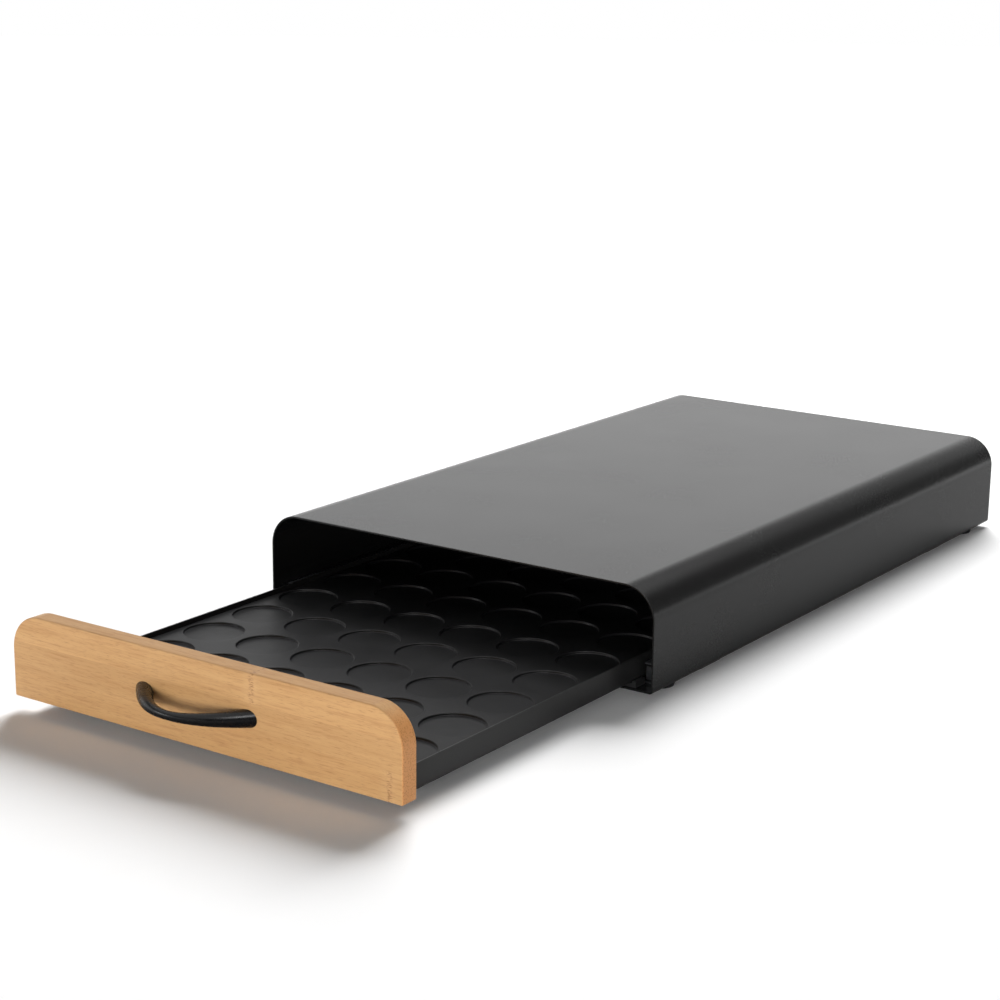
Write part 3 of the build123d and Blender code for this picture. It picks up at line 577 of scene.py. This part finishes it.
# ---- Drawer ----
def steel_tray():
    """The drawer's tray: a floor and four low walls folded from one sheet."""
    low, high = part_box("drawer_tray")
    form = bmesh.new()
    bmesh.ops.create_cube(form, size=1)
    size, middle = high - low, (high + low) / 2
    for vert in form.verts:
        vert.co = Vector([middle[i] + vert.co[i] * size[i] for i in range(3)])
    top = max(form.faces, key=lambda face: face.calc_center_median().z)
    form.faces.remove(top)
    below = [edge for edge in form.edges if all(vert.co.z < middle.z for vert in edge.verts)]
    bmesh.ops.bevel(form, geom=below, offset=TRAY_BEND, segments=5, affect="EDGES", profile=0.5)
    piece = shown("steel_tray", made_mesh("steel_tray", form))
    wall = piece.modifiers.new("sheet", "SOLIDIFY")
    wall.thickness = TRAY_SHEET
    wall.offset = -1
    wall.use_even_offset = True
    settled(piece)
    rounded(piece, CUT_EDGE, limit=60)
    return dressed(piece, TRAY_COAT, "drawer", "tray_powder_coat", "drawer_tray")


def seat_cell():
    """One cell of the insert's deck: flat to its straight borders, with a lipped round recess."""
    half_x, half_y = COLUMN_PITCH / 2, ROW_PITCH / 2
    angles = [2 * pi * side / SEAT_SIDES for side in range(SEAT_SIDES)]
    border = []
    for angle in angles:
        reach = min(half_x / max(abs(cos(angle)), 1e-9), half_y / max(abs(sin(angle)), 1e-9))
        border.append([reach * cos(angle), reach * sin(angle)])
    for corner_x in (-half_x, half_x):
        for corner_y in (-half_y, half_y):
            nearest = min(border, key=lambda p: hypot(p[0] - corner_x, p[1] - corner_y))
            nearest[:] = (corner_x, corner_y)
    lip = [(x, z) for x, z, _, _ in arc(SEAT_RADIUS + SEAT_LIP, -SEAT_LIP, SEAT_LIP, 90, 180, 4)]
    root = [(x, z) for x, z, _, _ in
            arc(SEAT_RADIUS - SEAT_LIP, -SEAT_DEPTH + SEAT_LIP, SEAT_LIP, 0, -90, 3)]
    form = bmesh.new()
    rings = [[form.verts.new((x, y, 0)) for x, y in border]]
    for radius, height in lip + root + [(SEAT_RADIUS * 0.5, -SEAT_DEPTH)]:
        rings.append([form.verts.new((radius * cos(a), radius * sin(a), height)) for a in angles])
    for outer, inner in zip(rings, rings[1:]):
        for side in range(SEAT_SIDES):
            after = (side + 1) % SEAT_SIDES
            form.faces.new((outer[side], outer[after], inner[after], inner[side]))
    form.faces.new(rings[-1])
    return made_mesh("seat_cell", form)


def seat_grid_tree():
    """Seats in columns and rows, joined edge to edge into one deck."""
    tree, given = new_tree("seats_in_rows", [
        ("Seat", "NodeSocketObject"), ("Columns", "NodeSocketInt"), ("Rows", "NodeSocketInt"),
        ("Width", "NodeSocketFloat"), ("Length", "NodeSocketFloat"),
        ("Middle", "NodeSocketVector"), ("Material", "NodeSocketMaterial")])
    seat = add(tree, "GeometryNodeObjectInfo", {"Object": given["Seat"]})
    places = add(tree, "GeometryNodeMeshGrid", {
        "Size X": given["Width"], "Size Y": given["Length"],
        "Vertices X": given["Columns"], "Vertices Y": given["Rows"]})
    placed = add(tree, "GeometryNodeInstanceOnPoints", {
        "Points": places.outputs[0], "Instance": seat.outputs["Geometry"]})
    real = add(tree, "GeometryNodeRealizeInstances", {0: placed.outputs[0]})
    joined = add(tree, "GeometryNodeMergeByDistance", {
        "Geometry": real.outputs[0], "Distance": MERGE_DISTANCE})
    moved = add(tree, "GeometryNodeTransform", {
        "Geometry": joined.outputs[0], "Translation": given["Middle"]})
    return ended(tree, moved.outputs[0], given["Material"])


def insert_outline(low, high, inset):
    """The insert's edge seen from above, notched at the front for the screw heads."""
    left, right, near, far = low.x + inset, high.x - inset, low.y + inset, high.y - inset
    width, depth = SCREW_NOTCH
    points = [(left, far), (left, near)]
    for x in sorted(side * place for side in (-1, 1) for place in FRONT_SCREW_X):
        start, end, deep = x - width / 2 - inset, x + width / 2 + inset, low.y + depth + inset
        points += [(start, near), (start, deep), (end, deep), (end, near)]
    return points + [(right, near), (right, far)]


def pod_insert():
    """The moulded insert: a deck of round seats over a closed skirt."""
    low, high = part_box("pod_insert")
    seat = shown("seat_part", seat_cell())
    middle = ((low.x + high.x) / 2, (low.y + high.y) / 2, high.z)
    piece = grown("moulded_pod_insert", seat_grid_tree(), {
        "Seat": seat, "Columns": SEAT_COLUMNS, "Rows": SEAT_ROWS,
        "Width": (SEAT_COLUMNS - 1) * COLUMN_PITCH, "Length": (SEAT_ROWS - 1) * ROW_PITCH,
        "Middle": middle, "Material": INSERT_ABS})
    bpy.data.objects.remove(seat)
    form = bmesh.new()
    form.from_mesh(piece.data)
    bmesh.ops.recalc_face_normals(form, faces=form.faces)
    inner = [edge for edge in form.edges if len(edge.link_faces) == 1]
    ease = INSERT_EDGE
    levels = [(ease, high.z), (ease * 0.3, high.z - ease * 0.3), (0, high.z - ease), (0, low.z)]
    loops = []
    for inset, z in levels:
        loops.append([form.verts.new((x, y, z)) for x, y in insert_outline(low, high, inset)])
    count = len(loops[0])
    rim = [form.edges.new((loops[0][i], loops[0][(i + 1) % count])) for i in range(count)]
    bmesh.ops.triangle_fill(form, use_beauty=True, use_dissolve=False, edges=inner + rim)
    for upper, lower in zip(loops, loops[1:]):
        for i in range(count):
            after = (i + 1) % count
            form.faces.new((upper[i], upper[after], lower[after], lower[i]))
    form.faces.new(loops[-1])
    bmesh.ops.recalc_face_normals(form, faces=form.faces)
    form.to_mesh(piece.data)
    form.free()
    for face in piece.data.polygons:
        face.use_smooth = True
    flat = piece.modifiers.new("flat_faces", "WEIGHTED_NORMAL")
    flat.weight = 100
    settled(piece)
    return dressed(piece, INSERT_ABS, "drawer", "insert_plastic", "pod_insert")


def bamboo_front():
    """The drawer's front: a bamboo board with two round top corners and eased edges."""
    low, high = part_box("bamboo_front")
    right = arc(high.x - FRONT_CORNER, high.z - FRONT_CORNER, FRONT_CORNER, 90, 0, 16)
    outline = [(x, z) for x, z, _, _ in right] + [(high.x, low.z)]
    outline = [(-x, z) for x, z in reversed(outline)] + outline
    piece = shown("bamboo_drawer_front", prism("bamboo_drawer_front", outline, low.y, high.y))
    rounded(piece, FRONT_EASED_EDGE, steps=4)
    return dressed(piece, BAMBOO, "drawer", "bamboo", "bamboo_front")


def bow_handle():
    """The handle: a tube on an arch, wider towards its ends, cut flat where the board starts."""
    low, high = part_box("handle")
    level, face = (low.z + high.z) / 2, high.y
    sides = ROUND_SIDES
    form = bmesh.new()
    rings = []
    for number in range(HANDLE_SECTIONS):
        share = HANDLE_OVERRUN * (2 * number / (HANDLE_SECTIONS - 1) - 1)
        grow = (HANDLE_END_RADIUS - HANDLE_MIDDLE_RADIUS) * abs(share) ** HANDLE_FLARE
        radius = HANDLE_MIDDLE_RADIUS + grow
        out = face - HANDLE_PROUD * (1 - share * share)
        centre = Vector((share * HANDLE_HALF_SPAN, out, level))
        slope = Vector((HANDLE_HALF_SPAN, 2 * HANDLE_PROUD * share, 0)).normalized()
        side_way = Vector((-slope.y, slope.x, 0))
        ring = []
        for side in range(sides):
            angle = 2 * pi * side / sides
            ring.append(form.verts.new(
                centre + radius * (cos(angle) * side_way + sin(angle) * Vector((0, 0, 1)))))
        rings.append(ring)
    for one, two in zip(rings, rings[1:]):
        for side in range(sides):
            after = (side + 1) % sides
            form.faces.new((one[side], one[after], two[after], two[side]))
    cut = bmesh.ops.bisect_plane(
        form, geom=form.verts[:] + form.edges[:] + form.faces[:], dist=1e-6,
        plane_co=(0, face, 0), plane_no=(0, 1, 0), clear_outer=True)
    rim = [item for item in cut["geom_cut"] if isinstance(item, bmesh.types.BMEdge)]
    bmesh.ops.holes_fill(form, edges=rim, sides=0)
    piece = shown("bow_handle", made_mesh("bow_handle", form))
    smoothed(piece.data, 50)
    return dressed(piece, ENAMEL, "drawer", "handle_enamel", "handle")


def cross_recess(mesh, top, size, depth):
    """Cut a cross recess into a screw head whose top is at this height."""
    head = shown("head", mesh)
    form = bmesh.new()
    wide, thin = size, size * 0.24
    for x, y in ((wide, thin), (thin, wide)):
        above = [(-x, -y), (x, -y), (x, y), (-x, y)]
        high = [form.verts.new((a, b, top + depth)) for a, b in above]
        low = [form.verts.new((a * 0.7, b * 0.7, top - depth)) for a, b in above]
        form.faces.new(high)
        form.faces.new(low)
        for i in range(4):
            form.faces.new((high[i], high[(i + 1) % 4], low[(i + 1) % 4], low[i]))
    cutter = shown("cutter", made_mesh("cutter", form))
    cut = head.modifiers.new("recess", "BOOLEAN")
    cut.operation = "DIFFERENCE"
    cut.solver = "EXACT"
    cut.use_self = True
    cut.object = cutter
    mesh = settled(head).data
    bpy.data.objects.remove(head)
    bpy.data.objects.remove(cutter)
    return smoothed(mesh, 35)


def pan_screw(radius, height, shank, length):
    """A pan-head cross screw along +Y: its head's top is at y = 0 and its shank runs to -Y."""
    ease = height * 0.5
    crown = [(x, z) for x, z, _, _ in arc(radius - ease, -ease, ease, 0, 80, 5)]
    profile = [(0, -length), (shank * 0.5, -length), (shank, -length + shank), (shank, -height)]
    profile += [(radius, -height)] + crown + [(0, 0)]
    mesh = cross_recess(lathe("screw", profile, 32), 0, radius * 0.55, height * 0.6)
    mesh.transform(Matrix.Rotation(-pi / 2, 4, "X"))
    return mesh


def front_screws():
    """The screws that hold the board to the tray's front wall."""
    low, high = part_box("front_screws")
    z = (low.z + high.z) / 2
    places = [(side * x, high.y, z) for side in (-1, 1) for x in FRONT_SCREW_X]
    screw = pan_screw(*FRONT_SCREW, high.y - low.y)
    piece = set_at("front_board_screws", screw, places, SCREW_ZINC, axis=(0, 1, 0), seed=4)
    return dressed(piece, SCREW_ZINC, "drawer", "screw_steel", "front_screws")


def handle_screws():
    """The screws that hold the handle, with their heads behind the board."""
    low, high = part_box("handle_screws")
    z = (low.z + high.z) / 2
    places = [(side * HANDLE_SCREW_X, high.y, z) for side in (-1, 1)]
    screw = pan_screw(*HANDLE_SCREW, high.y - low.y)
    piece = set_at("handle_cross_screws", screw, places, SCREW_ZINC, axis=(0, 1, 0), seed=9)
    return dressed(piece, SCREW_ZINC, "drawer", "screw_steel", "handle_screws")


folded_case()
rubber_feet()
strap_rivets()
panel_rivets()
steel_tray()
pod_insert()
bamboo_front()
bow_handle()
front_screws()
handle_screws()

# ---- Finishes of the pieces whose solids show as they are ----
FINISHES = {
    CASE_COAT: ("rear_panel", "front_strap", "rear_strap"),
    RUNNER_ZINC: ("left_runner", "right_runner"),
    RIVET_STEEL: ("runner_rivets",),
    RUBBER: ("rear_buffers",),
    NYLON: ("left_front_glide", "right_front_glide", "left_guide_block", "right_guide_block"),
    SCREW_ZINC: ("handle_washers", "block_screws", "block_nuts"),
}
for finish, names in FINISHES.items():
    for name in names:
        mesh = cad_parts[name].data
        mesh.materials.clear()
        mesh.materials.append(finish)

# ---- Studio: floor, surround, lamps and camera ----
FLOOR_RADIUS = 9.0
FLOOR_GLOW = 0.02
FLOOR_GLOW_REACH = (0.45, 2.5)       # the distances between which the glow grows to full
FLOOR_DIMMED = 0.55                  # share of the floor's light that reflections lose
AMBIENT = 0.1
form = bmesh.new()
bmesh.ops.create_circle(form, cap_ends=True, segments=96, radius=FLOOR_RADIUS)
floor = shown("studio_floor", made_mesh("studio_floor", form))


def seen_directly(tree):
    """1 for rays from the camera or off a glossy or clear surface, else 0."""
    rays = add(tree, "ShaderNodeLightPath").outputs
    either = maths(tree, "MAXIMUM", rays["Is Camera Ray"], rays["Is Glossy Ray"])
    return maths(tree, "MAXIMUM", either, rays["Is Transmission Ray"])


def floor_finish():
    """White paper sweep: takes the shadow, and glows a little so that it reads as white."""
    material, tree, shader, place = started("white_paper_sweep")
    tone = blend(tree, noise(tree, place, 30 * MM, 2.0), colour("#F6F6F6"), colour("#F9F9F9"))
    # What the black coat mirrors is dimmer, as if dark cards stood round the sweep.
    dimmed = maths(tree, "MULTIPLY",
                   add(tree, "ShaderNodeLightPath").outputs["Is Glossy Ray"], FLOOR_DIMMED)
    # The glow rises away from the object, so that the floor meets the surround unseen.
    away = add(tree, "ShaderNodeVectorMath", {0: place}, operation="LENGTH").outputs["Value"]
    glow = spread(tree, away, FLOOR_GLOW_REACH, (FLOOR_GLOW, 1.0), "SMOOTHSTEP")
    set_values(shader, {
        "Base Color": blend(tree, dimmed, tone, colour("#000000")),
        "Roughness": 0.9, "Specular IOR Level": 0.0,
        "Emission Color": (1, 1, 1, 1),
        "Emission Strength": maths(tree, "MULTIPLY", seen_directly(tree), glow)})
    return material


def studio_world():
    """A dim even light for the object, pure white for the camera, and for reflections a white
    surround with a dark card at its right, a dark band above it that shades the top bends, and
    a soft white panel overhead that draws a ridge along them."""
    world = bpy.data.worlds.new("studio")
    world.use_nodes = True
    tree = world.node_tree
    tree.nodes.clear()
    # The direction looked in: x to the right of the object, z upwards.
    right, _, up = add(tree, "ShaderNodeSeparateXYZ", {
        0: add(tree, "ShaderNodeTexCoord").outputs["Generated"]}).outputs
    surround = spread(tree, up, (0.33, 0.45), (1.15, 0.02), "SMOOTHSTEP")
    card = spread(tree, right, (0.0, 0.3), (1.0, 0.1), "SMOOTHSTEP")
    panel = spread(tree, up, (0.55, 0.61), (0.0, 1.2), "SMOOTHSTEP")
    mirrored = maths(tree, "MULTIPLY_ADD", surround, card, panel)
    rays = add(tree, "ShaderNodeLightPath").outputs
    bright = add(tree, "ShaderNodeMix", {0: rays["Is Camera Ray"], 2: mirrored, 3: 1.0})
    lights = [add(tree, "ShaderNodeBackground", {"Color": (1, 1, 1, 1), "Strength": strength})
              for strength in (AMBIENT, bright.outputs[0])]
    mixed = add(tree, "ShaderNodeMixShader", {
        0: seen_directly(tree), 1: lights[0].outputs[0], 2: lights[1].outputs[0]})
    add(tree, "ShaderNodeOutputWorld", {"Surface": mixed.outputs[0]})
    return world


def lamp(name, place, target, size, share, mirrored=False):
    """A soft box that would light a white surface facing it to this share of white. A mirrored
    one only draws highlights, and the others only light."""
    data = bpy.data.lights.new(name, "AREA")
    data.shape = "RECTANGLE"
    data.size, data.size_y = size
    reach = Vector(target) - Vector(place)
    data.energy = share * pi ** 2 * reach.length_squared
    made = bpy.data.objects.new(name, data)
    turn = reach.to_track_quat("-Z", "Y").to_matrix().to_4x4()
    made.matrix_world = Matrix.Translation(place) @ turn
    made.visible_glossy = mirrored
    made.visible_diffuse = not mirrored
    scene.collection.objects.link(made)


floor.data.materials.append(floor_finish())
scene.world = studio_world()
HANDLE_PLACE = (0, -0.4, 0.03)
lamp("key", (-1.35, 3.8, 3.35), (0, -0.2, 0), (2.9, 2.9), 1.66)
lamp("front_fill", (1.05, -2.9, 0.38), (0, -0.3, 0.03), (1.4, 0.6), 0.79)
# Two strips that draw the highlights at the handle's ends.
lamp("side_strip", (1.85, -1.9, 2.35), HANDLE_PLACE, (1.4, 0.8), 0.36, mirrored=True)
lamp("left_strip", (-2.3, -2.5, 0.75), HANDLE_PLACE, (0.9, 0.45), 0.14, mirrored=True)

# The camera stands where the photograph was taken from, fitted to the case's edges.
FOCAL_PIXELS, FRAME_PIXELS = 2177.0, 1000.0
CAMERA_PLACE = (783.2 * MM, -1194.6 * MM, 441.8 * MM)
YAW, PITCH, ROLL = radians(34.88), radians(14.37), radians(-0.65)
ahead = Vector((-sin(YAW) * cos(PITCH), cos(YAW) * cos(PITCH), -sin(PITCH)))
level = Vector((cos(YAW), sin(YAW), 0))
down = ahead.cross(level)
rightwards = cos(ROLL) * level + sin(ROLL) * down
downwards = cos(ROLL) * down - sin(ROLL) * level
camera = bpy.data.objects.new("camera", bpy.data.cameras.new("camera"))
camera.data.sensor_width = 36.0
camera.data.lens = FOCAL_PIXELS / FRAME_PIXELS * camera.data.sensor_width
turned = Matrix((rightwards, -downwards, -ahead)).transposed().to_4x4()
camera.matrix_world = Matrix.Translation(CAMERA_PLACE) @ turned
scene.collection.objects.link(camera)
scene.camera = camera
scene.view_settings.view_transform = "Standard"
